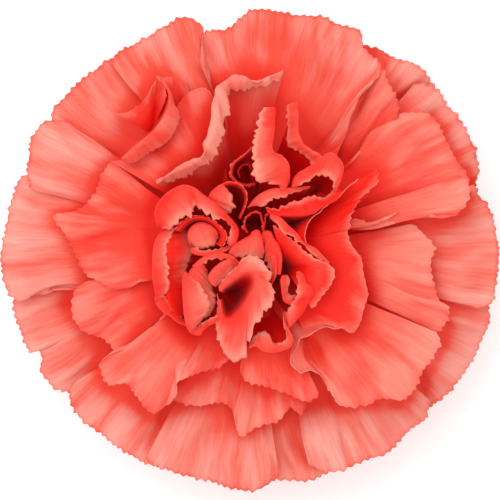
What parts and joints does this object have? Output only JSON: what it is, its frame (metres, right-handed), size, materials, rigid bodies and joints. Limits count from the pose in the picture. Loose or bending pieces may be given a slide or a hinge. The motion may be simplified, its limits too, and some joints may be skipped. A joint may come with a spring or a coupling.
{
  "type": "cut carnation bloom",
  "caption": "Double carnation bloom of toothed, ruffled petals in a green calyx, cut from its stem and standing face up on the flat cut.",
  "frame": {"origin": "centre of the flat cut face at the foot of the calyx", "axes": "+Z up along the calyx, out of the face of the bloom; +X to the right and +Y up in the view from straight above"},
  "size_m": [0.0754, 0.0728, 0.0472],
  "materials": {
    "guard_petals": "soft satin petal, salmon pink with fine veins and a paler toothed edge",
    "outer_petals": "soft satin petal, coral with fine veins and a paler toothed edge",
    "inner_petals": "soft satin petal, coral red, glowing where light comes through",
    "heart_petals": "soft satin petal, deep coral red in the folds",
    "calyx": "smooth waxy grey-green with faint lengthwise ribs",
    "bracts": "smooth waxy grey-green scale with a dry pale edge",
    "cut_flesh": "moist pale green cut face with a ring of fibres",
    "ovary": "smooth pale green",
    "styles": "smooth white"
  },
  "bodies": {
    "root": {"calyx": "calyx", "inner_bract_1": "bracts", "inner_bract_2": "bracts", "outer_bract_1": "bracts", "outer_bract_2": "bracts", "receptacle": "cut_flesh", "ovary": "ovary", "style_1": "styles", "style_2": "styles", "guard_petal_low_1": "guard_petals", "guard_petal_low_2": "guard_petals", "guard_petal_low_3": "guard_petals", "guard_petal_low_4": "guard_petals", "guard_petal_low_5": "guard_petals", "guard_petal_low_6": "guard_petals", "guard_petal_low_7": "guard_petals", "guard_petal_high_1": "guard_petals", "guard_petal_high_2": "guard_petals", "guard_petal_high_3": "guard_petals", "guard_petal_high_4": "guard_petals", "guard_petal_high_5": "guard_petals", "guard_petal_high_6": "guard_petals", "guard_petal_high_7": "guard_petals", "outer_petal_1": "outer_petals", "outer_petal_2": "outer_petals", "outer_petal_3": "outer_petals", "outer_petal_4": "outer_petals", "outer_petal_5": "outer_petals", "outer_petal_6": "outer_petals", "outer_petal_7": "outer_petals", "middle_petal_1": "outer_petals", "middle_petal_2": "outer_petals", "middle_petal_3": "outer_petals", "middle_petal_4": "outer_petals", "middle_petal_5": "outer_petals", "middle_petal_6": "outer_petals", "middle_petal_7": "outer_petals", "inner_petal_1": "inner_petals", "inner_petal_2": "inner_petals", "inner_petal_3": "inner_petals", "inner_petal_4": "inner_petals", "inner_petal_5": "inner_petals", "inner_petal_6": "inner_petals", "inner_petal_7": "inner_petals", "heart_petal_1": "inner_petals", "heart_petal_2": "inner_petals", "heart_petal_3": "inner_petals", "heart_petal_4": "inner_petals", "heart_petal_5": "inner_petals", "heart_petal_6": "inner_petals", "heart_petal_7": "inner_petals", "centre_petal_1": "heart_petals", "centre_petal_2": "heart_petals", "centre_petal_3": "heart_petals", "centre_petal_4": "heart_petals", "eye_petal_1": "heart_petals", "eye_petal_2": "heart_petals", "eye_petal_3": "heart_petals", "eye_petal_4": "heart_petals"}
  },
  "joints": []
}
